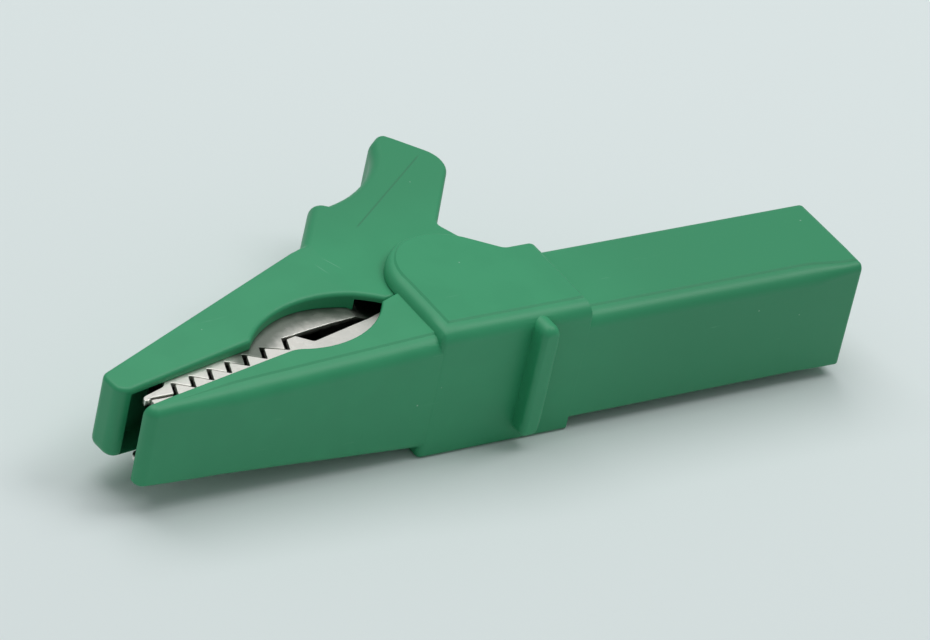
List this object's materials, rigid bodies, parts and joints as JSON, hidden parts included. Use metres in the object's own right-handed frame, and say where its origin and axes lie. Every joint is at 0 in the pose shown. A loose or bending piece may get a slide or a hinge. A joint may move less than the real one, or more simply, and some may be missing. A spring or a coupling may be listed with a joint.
{
  "type": "insulated crocodile clip",
  "caption": "Insulated crocodile clip: green moulded body and thumb lever over toothed nickel jaws, riveted hinge with torsion spring, and a recessed 4 mm plug socket in the square tail.",
  "frame": {"origin": "centre of the plug socket's mouth, on the socket's axis", "axes": "+X along the socket's axis out of the tail, away from the jaws; +Y towards the thumb lever; +Z along the hinge axis, up from the side the clip lies on"},
  "size_m": [0.0783, 0.0343, 0.014],
  "materials": {
    "green_plastic": "satin moulded polyamide",
    "nickel_sheet": "nickel-plated steel sheet",
    "spring_steel": "zinc-plated steel",
    "plated_brass": "turned brass"
  },
  "bodies": {
    "body": {"body_shell": "green_plastic", "fixed_jaw": "nickel_sheet", "hinge_rivet": "spring_steel", "torsion_spring": "spring_steel", "socket_tube": "plated_brass", "tang_rivet": "spring_steel"},
    "lever": {"lever_shell": "green_plastic", "moving_jaw": "nickel_sheet"}
  },
  "joints": [
    {"name": "lever_hinge", "type": "hinge", "parent": "body", "child": "lever", "pos_m": [-0.039, 0.0034, 0], "axis": [0, 0, -1], "range_deg": [0, 30], "stiffness_Nm_per_rad": 0.2, "springref_deg": -28.65, "deforming": ["torsion_spring"]}
  ]
}
